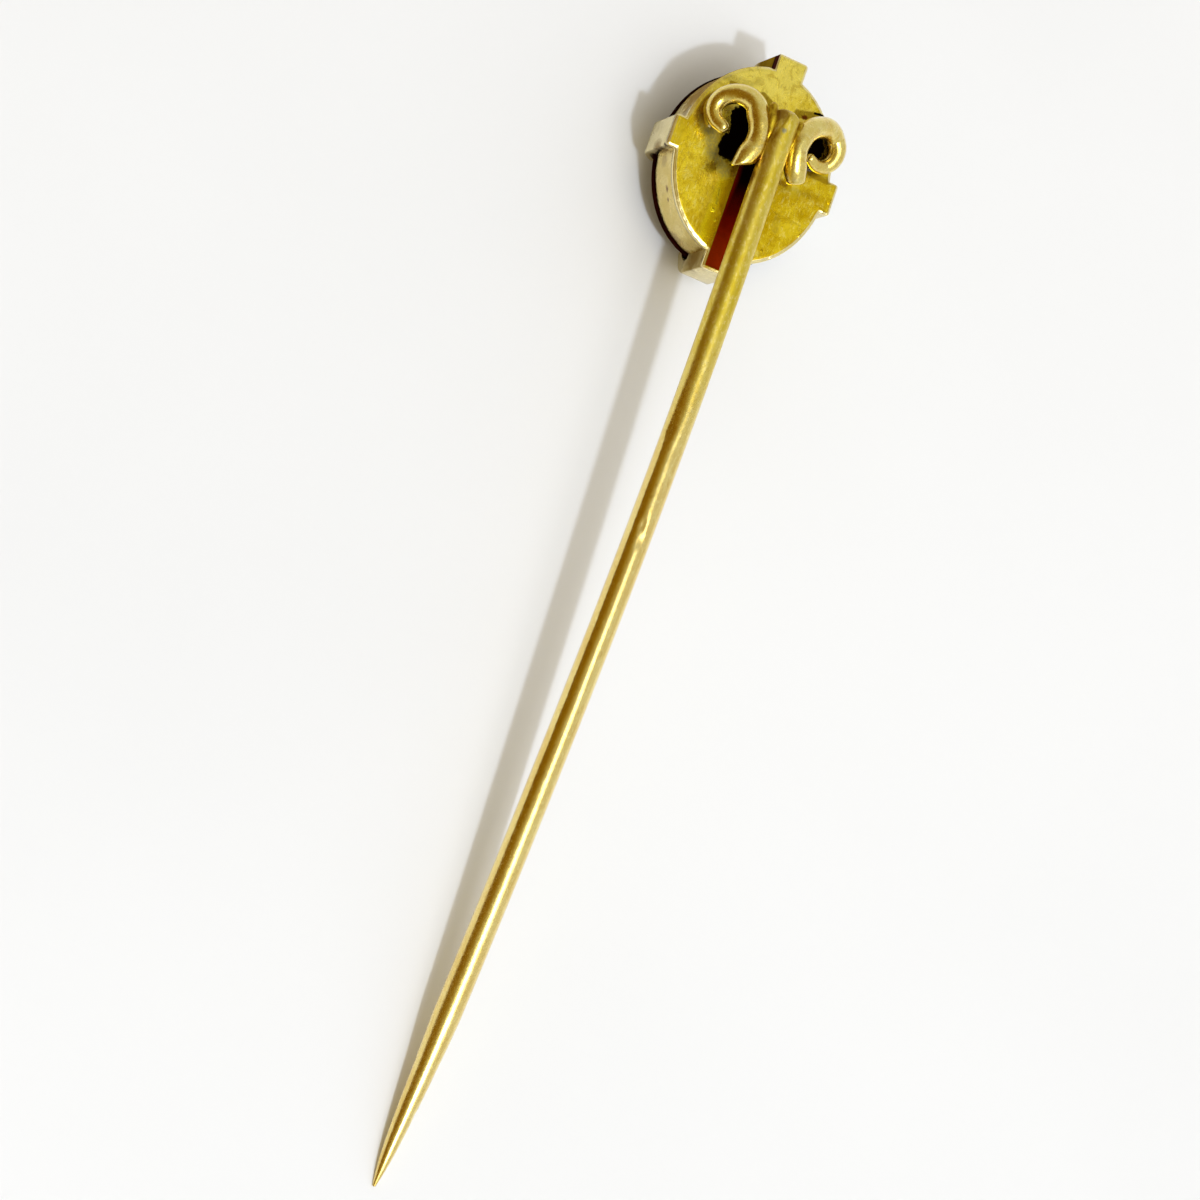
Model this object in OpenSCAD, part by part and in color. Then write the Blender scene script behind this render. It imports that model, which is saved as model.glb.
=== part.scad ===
// A gold stick pin, lying on its face as it would by itself on a table.
// Everything is drawn in the head's own frame first: the plate's back face is z = 0 with its centre at the
// origin, +x runs along the stem away from its point, and +z points out of the back. lying() then lays the
// whole pin down on its point and on the dome of its stone.

/* [Stem] */
// Length of the pin, from its point to the claw at the far end
pin_len = 60; // [54:1:66]
// Thickness of the stem wire
stem_d = 1.4; // [1.2:0.1:1.6]
// Height of the stem's axis over the back plate
stem_rise = 2.3; // [2:0.1:2.6]
// How far the stem's head end reaches past the plate's centre
stem_top = 2.5; // [2:0.1:3]
// Straight stretch from the plate's centre to where the stem starts to bow
stem_straight = 5; // [4:0.5:8]
// Total angle that the stem bows through, in degrees
bow_angle = 5.4; // [3:0.1:7]
// How far the bow leans to the side, in degrees
bow_lean = 23; // [0:1:30]
// Straight stretch above the point, where cloth or a pin guard holds the stem
grip_len = 8; // [6:1:12]
// Length of the tapered point
point_len = 6.5; // [5:0.5:8]
// Radius left at the very tip
tip_r = 0.08; // [0.05:0.01:0.12]

/* [Head] */
// Length of the oval back plate, along the stem
plate_len = 10.2; // [9.6:0.1:10.4]
// Width of the oval back plate
plate_wide = 8.5; // [8:0.1:8.6]
// Thickness of the back plate
plate_t = 0.4; // [0.3:0.05:0.6]
// How far the plate's edge stands proud of the collet wall
plate_lip = 0.08; // [0.04:0.02:0.14]
// Depth of the head from the plate's back face to the foot of the collet wall
wall_depth = 2.65; // [2:0.05:3.2]
// Thickness of the collet wall
wall_t = 0.45; // [0.35:0.05:0.6]

/* [Claws] */
// Span over the two claws in line with the stem
claw_span_len = 11.8; // [11.4:0.1:13]
// Span over the two claws at the sides
claw_span_wide = 9.4; // [9.4:0.1:10.4]
// Width of each claw
claw_w = 1.7; // [1.2:0.1:2]
// Thickness of a claw's end where it is folded over the stone
claw_tip_t = 0.3; // [0.2:0.05:0.4]
// How far round the dome a claw is folded, in degrees of the dome's curve
claw_fold = 30; // [20:1:34]

/* [Scrolls] */
// Height of a scroll's wire over the plate, beside the stem
scroll_rise_in = 2.1; // [1.9:0.05:2.3]
// Height of a scroll's wire over the plate, at the outside of its curl
scroll_rise_out = 0.72; // [0.6:0.02:1]
// Radius of the scroll wire along its main stretch
scroll_wire_r = 0.56; // [0.45:0.01:0.58]
// Radius of the scroll wire at the end of its curl
scroll_tip_r = 0.34; // [0.25:0.01:0.4]

/* [Stone] */
// Height of the stone's plain band, from the wall's foot to the edge of its dome
girdle_h = 0.25; // [0.2:0.05:0.5]
// Height of the dome over that band
dome_h = 1.78; // [1.4:0.02:1.9]
// How far the stone's edge stands proud of the collet wall
stone_lip = 0.1; // [0:0.02:0.14]
// Depth of the stone's rounded back inside the collet
belly_h = 1.2; // [0.8:0.1:1.6]
// Gap between the stone and the metal round it
seat_gap = 0.05; // [0.03:0.01:0.08]

/* [Hidden] */

gold = [0.80, 0.64, 0.16];
garnet = [0.22, 0.02, 0.04];

plate_a = plate_len / 2;
plate_b = plate_wide / 2;
wall_a = plate_a - plate_lip;
wall_b = plate_b - plate_lip;
stone_a = wall_a + stone_lip;
stone_b = wall_b + stone_lip;
belly_a = wall_a - wall_t - seat_gap;
belly_b = wall_b - wall_t - seat_gap;
seat_z = wall_depth + seat_gap;
dome_z = seat_z + girdle_h;
oval_steps = 96;

// The stem leaves the head straight, bows on one long arc, and ends in the straight grip and the point. The
// bowed stretch is a hair thicker than the straight ones, which reach a little way into its ends.
stem_r = stem_d / 2;
bow_d = stem_d + 0.02;
joint_reach = 0.3;
bow_len = pin_len - claw_span_len / 2 - stem_straight - grip_len - point_len;
bow_r = bow_len / (bow_angle * PI / 180);
tip_down = bow_r * (1 - cos(bow_angle)) + (grip_len + point_len) * sin(bow_angle);
tip_back = stem_straight + bow_r * sin(bow_angle) + (grip_len + point_len) * cos(bow_angle);
tip_z = stem_rise - tip_down * cos(bow_lean);

// The pin lies at the angle at which its point and the dome of its stone both touch the table. settle() comes
// closer to that angle with each try.
function dome_depth(lie) = dome_z * cos(lie) + norm([stone_a * sin(lie), dome_h * cos(lie)]);
function settle(lie, tries) =
    tries == 0 ? lie : settle(asin((dome_depth(lie) + tip_z * cos(lie) - tip_r) / tip_back), tries - 1);
lie_angle = settle(4, 12);
lie_height = dome_depth(lie_angle);
far_x = claw_span_len / 2 * cos(lie_angle) + wall_depth * sin(lie_angle);
near_x = -tip_back * cos(lie_angle) - tip_z * sin(lie_angle) - tip_r;
mid_x = (far_x + near_x) / 2;

module lying() {
    translate([-mid_x, 0, lie_height]) rotate([0, -lie_angle, 0]) children();
}

function oval(a, b) =
    [for (i = [0 : oval_steps - 1]) [a * cos(360 * i / oval_steps), b * sin(360 * i / oval_steps)]];

// The faces of a closed skin over equal rings of points, which follow each other in the list of points, with
// one pole point before the first ring and one after the last, both at the end of the list.
function skin(rings, sides) = concat(
    [for (k = [0 : sides - 1]) [rings * sides, k, (k + 1) % sides]],
    [for (i = [0 : rings - 2], k = [0 : sides - 1], half = [0, 1])
        let (here = i * sides + k, beside = i * sides + (k + 1) % sides)
        half == 0 ? [here, beside + sides, beside] : [here, here + sides, beside + sides]],
    [for (k = [0 : sides - 1])
        [rings * sides + 1, (rings - 1) * sides + (k + 1) % sides, (rings - 1) * sides + k]]);

// Stem

function point_radius(q) = tip_r + (stem_r - tip_r) * (1 - q * q);

module stem_point() {
    steps = 10;
    rotate_extrude($fn = 48)
        polygon(concat(
            [[0, 0]],
            [for (i = [0 : steps]) [point_radius(i / steps), point_len * i / steps]],
            [[0, point_len + tip_r / 2]]));
}

module stem_below_bow() {
    translate([-stem_straight, 0, -bow_r])
        rotate([0, -bow_angle, 0])
            translate([0, 0, bow_r])
                rotate([0, -90, 0]) {
                    translate([0, 0, -joint_reach])
                        cylinder(h = grip_len + joint_reach, d = stem_d, $fn = 48);
                    translate([0, 0, grip_len]) stem_point();
                }
}

module stem_bow() {
    translate([-stem_straight, 0, -bow_r])
        rotate([90, 0, 0])
            rotate([0, 0, 90])
                rotate_extrude(angle = bow_angle, $fn = 720)
                    translate([bow_r, 0]) circle(d = bow_d, $fn = 48);
}

module stem() {
    bevel = 0.3;
    straight = joint_reach + stem_straight + stem_top - bevel;
    translate([0, 0, stem_rise]) {
        translate([-joint_reach - stem_straight, 0, 0]) rotate([0, 90, 0]) {
            cylinder(h = straight, d = stem_d, $fn = 48);
            translate([0, 0, straight]) cylinder(h = bevel, r1 = stem_r, r2 = stem_r - bevel, $fn = 48);
        }
        rotate([bow_lean, 0, 0]) {
            stem_bow();
            stem_below_bow();
        }
    }
}

// The short post that carries the stem's head end, hidden under the stem
module post() {
    post_x = 1.2;
    post_d = 1.1;
    translate([post_x, 0, -plate_t / 2]) cylinder(h = stem_rise + plate_t / 2, d = post_d, $fn = 40);
}

// Collet: the back plate, and the oval wall that stands on it

module plate() {
    translate([0, 0, -plate_t]) linear_extrude(plate_t) polygon(oval(plate_a, plate_b));
}

module wall() {
    translate([0, 0, -wall_depth]) linear_extrude(wall_depth - plate_t / 2) difference() {
        polygon(oval(wall_a, wall_b));
        polygon(oval(wall_a - wall_t, wall_b - wall_t));
    }
}

// Claws: a square bar down the wall, whose end is folded over the dome of the stone.
// reach is the claw's outer face, edge the wall's outer face, and dome the stone's half width there.

function on_dome(dome, turn, off) =
    let (slope = [cos(turn) / dome, -sin(turn) / dome_h], out = slope / norm(slope))
    [dome * cos(turn), -dome_z - dome_h * sin(turn)] + off * out;

function claw_outline(reach, edge, dome) =
    let (root = 0.25, steps = 5, full = reach - dome)
    concat(
        [[edge - root, 0], [reach, 0], [reach, -wall_depth]],
        [for (i = [0 : steps])
            on_dome(dome, claw_fold * i / steps, full + (claw_tip_t + seat_gap - full) * i / steps)],
        [for (i = [steps : -1 : 0]) on_dome(dome, claw_fold * i / steps, seat_gap)],
        [[dome + seat_gap, -wall_depth], [edge - root, -wall_depth]]);

module claw(reach, edge, dome) {
    rotate([90, 0, 0]) translate([0, 0, -claw_w / 2])
        linear_extrude(claw_w) polygon(claw_outline(reach, edge, dome));
}

module claws() {
    for (side = [0, 180]) rotate([0, 0, side]) claw(claw_span_len / 2, wall_a, stone_a);
    for (side = [90, 270]) rotate([0, 0, side]) claw(claw_span_wide / 2, wall_b, stone_b);
}

// Scrolls: each wire runs up beside the stem and curls outwards round a centre.
// A path row is [along, out, radius, spread]: along the stem, out from its axis, the wire's radius there, and how
// many times wider than thick it is hammered.

left_tail = [[-0.62, 1.36, 0.5, 1.45], [-0.26, 1.14, 0.55, 1.3], [0.35, 1, 0.56, 1.05], [1.1, 1.04, 0.56, 1]];
right_tail = [[-0.36, 1.72, 0.46, 1.1], [0.11, 1.46, 0.54, 1.1], [0.7, 1.22, 0.55, 1], [1.3, 1.16, 0.56, 1],
    [1.95, 1.36, 0.56, 1], [2.46, 1.76, 0.56, 1]];

// A curl row is [centre along, centre out, first radius, last radius, first angle, last angle].
left_curl = [1.7, 2.2, 0.88, 0.87, -80, 158];
right_curl = [2, 2.8, 0.95, 0.92, -33, 208];

function curl_path(curl, steps = 9) =
    [for (i = [0 : steps])
        let (q = i / steps,
             turn = curl[4] + (curl[5] - curl[4]) * q,
             reach = curl[2] + (curl[3] - curl[2]) * q)
        [curl[0] + reach * cos(turn), curl[1] + reach * sin(turn),
         scroll_wire_r + (scroll_tip_r - scroll_wire_r) * q, 1]];

function scroll_rise(out) =
    let (near = 1.2, far = 3.4, q = min(1, max(0, (out - near) / (far - near))))
    scroll_rise_in + (scroll_rise_out - scroll_rise_in) * q;

// A smooth curve through the rows of a path
function row_at(path, i) = path[min(len(path) - 1, max(0, i))];
function curve_at(path, s) =
    let (i = min(len(path) - 2, floor(s)), t = s - i,
         a = row_at(path, i - 1), b = path[i], c = path[i + 1], d = row_at(path, i + 2))
    (2 * b + (c - a) * t + (2 * a - 5 * b + 4 * c - d) * t * t + (3 * b - a - 3 * c + d) * t * t * t) / 2;

function wire_point(path, s, side) =
    let (row = curve_at(path, s)) [row[0], side * row[1], scroll_rise(row[1])];

function wire_ring(centre, along, r, spread, sides) =
    let (heading = along / norm(along),
         across = cross([0, 0, 1], heading),
         u = spread * across / norm(across),
         v = cross(heading, across / norm(across)))
    [for (k = [0 : sides - 1]) centre + r * (cos(360 * k / sides) * u + sin(360 * k / sides) * v)];

module scroll(tail, curl, side) {
    path = concat(tail, curl_path(curl));
    sides = 14;
    spans = 44;
    cap_steps = 4;
    last = len(path) - 1;
    tiny = 0.01;
    start = wire_point(path, 0, side);
    finish = wire_point(path, last, side);
    start_way = start - wire_point(path, tiny, side);
    finish_way = finish - wire_point(path, last - tiny, side);
    start_r = path[0][2];
    start_spread = path[0][3];
    finish_r = path[last][2];
    start_cap = [for (i = [cap_steps - 1 : -1 : 1])
        wire_ring(start + start_way / norm(start_way) * start_r * sin(90 * i / cap_steps),
            -start_way, start_r * cos(90 * i / cap_steps), start_spread, sides)];
    body = [for (i = [0 : spans])
        let (s = last * i / spans,
             row = curve_at(path, s),
             ahead = min(last, s + tiny),
             behind = max(0, s - tiny))
        wire_ring(wire_point(path, s, side), wire_point(path, ahead, side) - wire_point(path, behind, side),
            row[2], row[3], sides)];
    finish_cap = [for (i = [1 : cap_steps - 1])
        wire_ring(finish + finish_way / norm(finish_way) * finish_r * sin(90 * i / cap_steps),
            finish_way, finish_r * cos(90 * i / cap_steps), 1, sides)];
    rings = concat(start_cap, body, finish_cap);
    first_pole = start + start_way / norm(start_way) * start_r;
    last_pole = finish + finish_way / norm(finish_way) * finish_r;
    points = concat([for (ring = rings) each ring], [first_pole, last_pole]);
    polyhedron(points, skin(len(rings), sides));
}

module scrolls() {
    scroll(left_tail, left_curl, 1);
    scroll(right_tail, right_curl, -1);
}

module setting() {
    color(gold) lying() {
        plate();
        wall();
        claws();
        post();
        scrolls();
        stem();
    }
}

// Stone: a rounded back inside the collet, a flat band a little wider than the wall on whose foot it sits, and a
// low dome.
// A level row is [half length, half width, depth below the plate's back face].

module stone() {
    sides = 60;
    belly_rows = 4;
    dome_rows = 10;
    belly = [for (i = [1 : belly_rows])
        let (turn = 90 * i / belly_rows)
        [belly_a * sin(turn), belly_b * sin(turn), seat_z - belly_h * cos(turn)]];
    band = [[stone_a, stone_b, seat_z]];
    dome = [for (i = [0 : dome_rows - 1])
        let (turn = 90 * i / dome_rows)
        [stone_a * cos(turn), stone_b * cos(turn), dome_z + dome_h * sin(turn)]];
    rows = concat(belly, band, dome);
    points = concat(
        [for (row = rows, k = [0 : sides - 1])
            [row[0] * cos(360 * k / sides), -row[1] * sin(360 * k / sides), -row[2]]],
        [[0, 0, belly_h - seat_z], [0, 0, -dome_z - dome_h]]);
    color(garnet) lying() polyhedron(points, skin(len(rows), sides));
}

setting();
stone();
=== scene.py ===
import math

import bmesh
import bpy
import numpy as np
from mathutils import Matrix, Vector


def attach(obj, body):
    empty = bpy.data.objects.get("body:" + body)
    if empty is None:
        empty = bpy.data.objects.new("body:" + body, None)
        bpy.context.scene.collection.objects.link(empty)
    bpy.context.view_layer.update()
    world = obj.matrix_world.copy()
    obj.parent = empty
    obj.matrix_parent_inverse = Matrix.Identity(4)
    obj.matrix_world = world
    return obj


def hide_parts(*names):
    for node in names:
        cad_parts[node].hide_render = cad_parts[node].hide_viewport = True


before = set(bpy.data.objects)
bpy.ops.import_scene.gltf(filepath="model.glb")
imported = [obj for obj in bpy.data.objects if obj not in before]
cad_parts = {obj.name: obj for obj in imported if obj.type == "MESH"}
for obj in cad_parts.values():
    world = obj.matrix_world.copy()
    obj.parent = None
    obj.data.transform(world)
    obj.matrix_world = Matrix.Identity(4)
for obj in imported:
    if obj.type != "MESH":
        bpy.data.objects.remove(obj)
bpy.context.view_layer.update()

# The stem
# Drawn gold wire, round and polished, with small dents where it was gripped. It leaves the head straight,
# bows a little, and ends in a straight stretch and a long sharp point. Its head end is filed to a low roof.

# Sizes are in millimetres in the head's own frame: z = 0 is the plate's back, x runs along the stem away
# from its point, and z points out of the back. lay_down() puts such points where the pin lies on the table.
MM = 0.001
pin_long = 60
stem_radius = 0.7
# The stem's axis lies this high over the plate, and runs past the head's middle to a bevelled end
stem_rise = 2.3
stem_head_end = 2.5
stem_end_bevel = 0.3
# Down from the head come a straight stretch, a bow that leans to one side, and a second straight stretch
stem_straight = 5
bow_angle = math.radians(5.4)
bow_lean = math.radians(23)
grip_long = 8
# The point is ground to a small, slightly worn tip, and filed slimmer from a little higher up. The width of
# the filed taper goes by a power of the distance from the tip
point_long = 6.5
point_filed_long = 8.8
point_filed_power = 0.5
tip_round = 0.08
tip_wear = 0.001
tip_cap = 0.035
# How firmly the two tapers of the point meet
taper_meet = 8
claw_reach_long = 5.9
bow_long = pin_long - claw_reach_long - stem_straight - grip_long - point_long
bow_radius = bow_long / bow_angle
stem_long = stem_straight + bow_long + grip_long + point_long
lean_turn = Matrix.Rotation(bow_lean, 3, "X")

# The dome of the stone, on which the pin lies
wall_depth = 2.65
seat_gap = 0.05
girdle_high = 0.25
dome_high = 1.78
stone_half_long = 5.12
dome_depth = wall_depth + seat_gap + girdle_high


def stem_place(far):
    """The stem's axis and heading at a distance along it, from the plate's middle towards the point."""
    if far <= stem_straight:
        return np.array((-far, 0, stem_rise)), np.array((-1.0, 0, 0))
    turn = min(bow_angle, (far - stem_straight) / bow_radius)
    rest = max(0, far - stem_straight - bow_long)
    x = -stem_straight - bow_radius * math.sin(turn) - rest * math.cos(turn)
    z = -bow_radius * (1 - math.cos(turn)) - rest * math.sin(turn)
    centre = lean_turn @ Vector((x, 0, z))
    heading = lean_turn @ Vector((-math.cos(turn), 0, -math.sin(turn)))
    return np.array(centre) + (0, 0, stem_rise), np.array(heading)


def head_height(lie):
    """How high the plate's middle lies over the table, when the pin lies on its dome at an angle."""
    under_dome = math.hypot(stone_half_long * math.sin(lie), dome_high * math.cos(lie))
    return dome_depth * math.cos(lie) + under_dome


# The angle at which both the dome and the point touch the table is closed in on from a first guess
tip_x, _, tip_z = stem_place(stem_long)[0]
lie = math.radians(4)
for _ in range(12):
    lie = math.asin((head_height(lie) + tip_z * math.cos(lie) - tip_round) / -tip_x)
far_x = claw_reach_long * math.cos(lie) + wall_depth * math.sin(lie)
near_x = tip_x * math.cos(lie) - tip_z * math.sin(lie) - tip_round
mid_x = (far_x + near_x) / 2


def lay_down(points):
    """Points of the head's frame, in millimetres, put where the pin lies on the table, in metres."""
    x, y, z = np.asarray(points, float).reshape(-1, 3).T
    along = x * math.cos(lie) - z * math.sin(lie) - mid_x
    up = x * math.sin(lie) + z * math.cos(lie) + head_height(lie)
    return np.stack([along, y, up], 1) * MM


def skin(rings, first_pole=None, last_pole=None, closed=False):
    """Points and faces of a skin over equal rings, closed by a pole at each end or back onto the first."""
    steps = len(rings[0])
    points = [point for ring in rings for point in ring]
    faces = []
    for i in range(len(rings) if closed else len(rings) - 1):
        here = i * steps
        there = (i + 1) % len(rings) * steps
        for k in range(steps):
            side = (k + 1) % steps
            faces.append((here + k, there + k, there + side, here + side))
    if first_pole is not None:
        points.append(first_pole)
        faces += [(len(points) - 1, k, (k + 1) % steps) for k in range(steps)]
    if last_pole is not None:
        points.append(last_pole)
        start = (len(rings) - 1) * steps
        faces += [(len(points) - 1, start + (k + 1) % steps, start + k) for k in range(steps)]
    return points, faces


def make_piece(name, points, faces, material, slot="gold", node="setting", sharp=40):
    """A piece of the pin in place of its CAD node. Edges sharper than an angle in degrees stay sharp."""
    mesh = bpy.data.meshes.new(name)
    mesh.from_pydata([tuple(point) for point in lay_down(points)], [], faces)
    outward = bmesh.new()
    outward.from_mesh(mesh)
    bmesh.ops.recalc_face_normals(outward, faces=outward.faces)
    outward.to_mesh(mesh)
    outward.free()
    mesh.shade_smooth()
    mesh.set_sharp_from_angle(angle=math.radians(sharp))
    mesh.materials.append(material)
    piece = bpy.data.objects.new(name, mesh)
    bpy.context.scene.collection.objects.link(piece)
    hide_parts(node)
    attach(piece, "root")
    return piece


class Palette:
    """The short words that the finishes and the room are mixed with, each a shader node."""

    def __init__(self, tree):
        self.nodes = tree.nodes
        self.links = tree.links

    def put(self, value, socket):
        if isinstance(value, bpy.types.NodeSocket):
            self.links.new(value, socket)
        else:
            socket.default_value = value

    def add(self, kind, sockets, **settings):
        """A new node with its settings made, and its sockets linked or filled in."""
        node = self.nodes.new("ShaderNode" + kind)
        for name, value in settings.items():
            setattr(node, name, value)
        for socket, value in sockets.items():
            self.put(value, node.inputs[socket])
        return node

    def part_of(self, vector, axis):
        return self.add("SeparateXYZ", {0: vector}).outputs[axis]

    def work(self, kind, first, second=0.0):
        return self.add("Math", {0: first, 1: second}, operation=kind).outputs["Value"]

    def times(self, first, second):
        return self.work("MULTIPLY", first, second)

    def fade(self, value, low, high, first=0.0, last=1.0):
        """Goes softly from first to last as a value goes from low to high."""
        sockets = {"Value": value, "From Min": low, "From Max": high, "To Min": first, "To Max": last}
        return self.add("MapRange", sockets, interpolation_type="SMOOTHSTEP").outputs["Result"]

    def mix(self, share, first, second, blend="MIX"):
        node = self.add("Mix", {"Factor": share}, data_type="RGBA", blend_type=blend)
        colour_sockets = [socket for socket in node.inputs if socket.type == "RGBA"]
        for socket, colour in zip(colour_sockets, (first, second)):
            self.put((*colour, 1.0) if isinstance(colour, tuple) else colour, socket)
        return [socket for socket in node.outputs if socket.type == "RGBA"][0]


class Finish(Palette):
    """A material whose marks are placed in the head's frame, in millimetres."""

    def __init__(self, name):
        self.material = bpy.data.materials.new(name)
        self.material.use_nodes = True
        super().__init__(self.material.node_tree)
        self.shader = self.nodes["Principled BSDF"]
        place = self.add("TexCoord", {}).outputs["Object"]
        self.place = self.scaled(place, (1 / MM, 1 / MM, 1 / MM))

    def give(self, name, value):
        self.put(value, self.shader.inputs[name])

    def scaled(self, place, scale, turn=0.0):
        sockets = {"Vector": place, "Rotation": (0, 0, turn), "Scale": scale}
        return self.add("Mapping", sockets).outputs["Vector"]

    def noise(self, scale, detail=3.0, rough=0.5, warp=0.0, stretch=None, turn=0.0):
        """Cloudy noise from 0 to 1. A small number in stretch draws it out along that axis."""
        place = self.place if stretch is None else self.scaled(self.place, stretch, turn)
        sockets = {"Vector": place, "Scale": scale, "Detail": detail, "Roughness": rough}
        return self.add("TexNoise", {**sockets, "Distortion": warp}).outputs["Fac"]

    def over(self, colour, tone, mask, strength=1.0):
        """A tone laid over a colour, as strongly as a mask and a share of it say."""
        if strength != 1.0:
            mask = self.times(mask, strength)
        return self.mix(mask, colour, tone)

    def vector(self, kind, sockets, output="Vector"):
        return self.add("VectorMath", sockets, operation=kind).outputs[output]

    def within(self, far, inner, outer, uneven):
        """1 out to a distance of inner, fading to 0 at outer. A noise, if given, makes the edge uneven."""
        if uneven is not None:
            far = self.work("ADD", far, self.times(self.work("SUBTRACT", uneven, 0.5), outer))
        return self.fade(far, inner, outer, 1.0, 0.0)

    def spot(self, centre, inner, outer, uneven=None):
        """A round mark about a place on the pin."""
        middle = tuple(lay_down([centre])[0] / MM)
        far = self.vector("DISTANCE", {0: self.place, 1: middle}, "Value")
        return self.within(far, inner, outer, uneven)

    def bump(self, height, distance, under=None):
        sockets = {"Height": height, "Strength": 1.0, "Distance": distance * MM}
        if under is not None:
            sockets["Normal"] = under
        return self.add("Bump", sockets).outputs["Normal"]

    def metal(self, colour, roughness, normal, metallic=1.0):
        self.give("Metallic", metallic)
        self.give("Base Color", colour)
        self.give("Roughness", roughness)
        self.give("Normal", normal)
        return self.material


# Each pair of golds is the darker and the paler tone of one surface
fresh_gold = ((0.80, 0.57, 0.13), (0.88, 0.70, 0.22))
heated_gold = ((0.65, 0.48, 0.020), (0.73, 0.58, 0.10))
rubbed_gold = (0.95, 0.81, 0.32)
stem_dirt = (0.58, 0.34, 0.01)
# The heat of the soldering dulled the wire down to heat_full below the plate's middle, and less so down to
# heat_gone. The cloth that the pin was pushed through wore it from wear_start on, and most below wear_full
heat_full = 7
heat_gone = 19
wear_start = 28
wear_full = 42
# Dark marks at the head end: place, reach and colour. The brown and red ones on the stem's flanks beside
# the scrolls are painted shade where the wire meets the scrolls; the grey one on top is a stain.
stem_shade_and_stains = [
    ((2.3, 0.5, 2.6), 0.85, (0.28, 0.14, 0.005)),
    ((2.2, -0.66, 2.4), 0.5, (0.30, 0.14, 0.008)),
    ((1.0, 0.6, 2.5), 0.75, (0.36, 0.20, 0.005)),
    ((1.35, 0.12, 2.99), 0.20, (0.28, 0.28, 0.20)),
    ((-0.3, 0.68, 2.3), 0.62, (0.13, 0.03, 0.004)),
    ((-1.3, 0.7, 2.2), 0.5, (0.22, 0.07, 0.005)),
]
# Where the plate's middle comes along the table, in millimetres
head_x = lay_down([(0, 0, 0)])[0][0] / MM


def stem_gold():
    finish = Finish("stem_gold")
    cloud = finish.noise(1.3, 4, 0.6, warp=0.3, stretch=(0.3, 1, 1))
    grain = finish.noise(8.0, 4, 0.65, stretch=(0.6, 1, 1))
    along = finish.part_of(finish.place, "X")
    heated = finish.fade(along, head_x - heat_gone, head_x - heat_full)
    tone = finish.fade(cloud, 0.3, 0.7)
    colour = finish.mix(heated, finish.mix(tone, *fresh_gold), finish.mix(tone, *heated_gold))
    rubbed = finish.fade(finish.noise(5.5, 5, 0.7, stretch=(0.6, 1, 1)), 0.50, 0.66)
    colour = finish.over(colour, rubbed_gold, rubbed, 0.5)
    dirty = finish.fade(finish.noise(4.0, 5, 0.7, stretch=(0.5, 1, 1)), 0.54, 0.72)
    colour = finish.over(colour, stem_dirt, dirty, 0.55)
    # Painted shade beside the scrolls, and a grey stain on top
    for place, reach, mark in stem_shade_and_stains:
        colour = finish.over(colour, mark, finish.spot(place, reach * 0.25, reach, grain), 0.85)
    roughness = finish.work("ADD", finish.fade(grain, 0.3, 0.75, 0.13, 0.24), finish.times(heated, 0.19))
    worn = finish.fade(along, head_x - wear_start, head_x - wear_full, 0.0, 0.08)
    roughness = finish.work("ADD", roughness, worn)
    finish.give("Coat Weight", finish.fade(heated, 0.0, 1.0, 0.9, 0.15))
    finish.give("Coat Roughness", 0.17)
    finish.give("Coat IOR", 1.65)
    normal = finish.bump(grain, 0.004, finish.bump(cloud, 0.012))
    return finish.metal(colour, roughness, normal)


# Each dent is its distance below the plate's middle, its angle round the wire, its length, width and depth
stem_dents = [
    (13.6, 122, 0.8, 0.30, 0.030),
    (14.8, 136, 0.5, 0.22, 0.045),
    (15.6, 66, 0.7, 0.35, 0.030),
    (17.4, 70, 1.2, 0.30, 0.018),
    (19.7, 105, 0.4, 0.16, 0.040),
    (20.4, 92, 0.4, 0.16, 0.035),
    (27.0, 60, 1.6, 0.40, 0.012),
    (50.3, 30, 0.3, 0.20, 0.020),
]
# Each filed face at the head end is its angle round the wire, its reach down the stem, and its depth
stem_filed_faces = [(142, 1.5, 0.24), (62, 0.7, 0.16)]
# The wire isn't quite straight: it strays to the right over the first stretch, and back over the second,
# whose far end comes first
stray_side = -0.075
stray_out = (30, 45)
stray_back = (53.5, 46.5)


def wire_ring(centre, heading, across_radius, over_radius, sides):
    """A ring round a wire, with one radius level and one upright to it."""
    heading = heading / np.linalg.norm(heading)
    across = np.cross((0, 0, 1), heading)
    across /= np.linalg.norm(across)
    over = np.cross(heading, across)
    turn = np.arange(sides) * 2 * math.pi / sides
    sideways = across_radius * np.outer(np.cos(turn), across)
    return centre + sideways + over_radius * np.outer(np.sin(turn), over)


def stem_width(far):
    """The wire's radius at a distance along it. In the point the slimmer of the two tapers counts."""
    from_tip = max(0.001, stem_long - far)
    if from_tip < point_filed_long:
        if from_tip < point_long:
            ground = 1 - (1 - from_tip / point_long) ** 2
        else:
            ground = 1 + (from_tip - point_long) / 2
        filed = (from_tip / point_filed_long) ** point_filed_power
        share = (ground ** -taper_meet + filed ** -taper_meet) ** (-1 / taper_meet)
        return tip_round - tip_wear + (stem_radius - tip_round) * share
    to_head_end = far + stem_head_end
    if to_head_end < stem_end_bevel:
        return stem_radius - stem_end_bevel * (1 - to_head_end / stem_end_bevel) ** 1.6
    return stem_radius


def soft_share(value, start, end):
    """Goes softly from 0 to 1 as a value goes from start to end."""
    share = min(1, max(0, (value - start) / (end - start)))
    return share * share * (3 - 2 * share)


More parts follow.
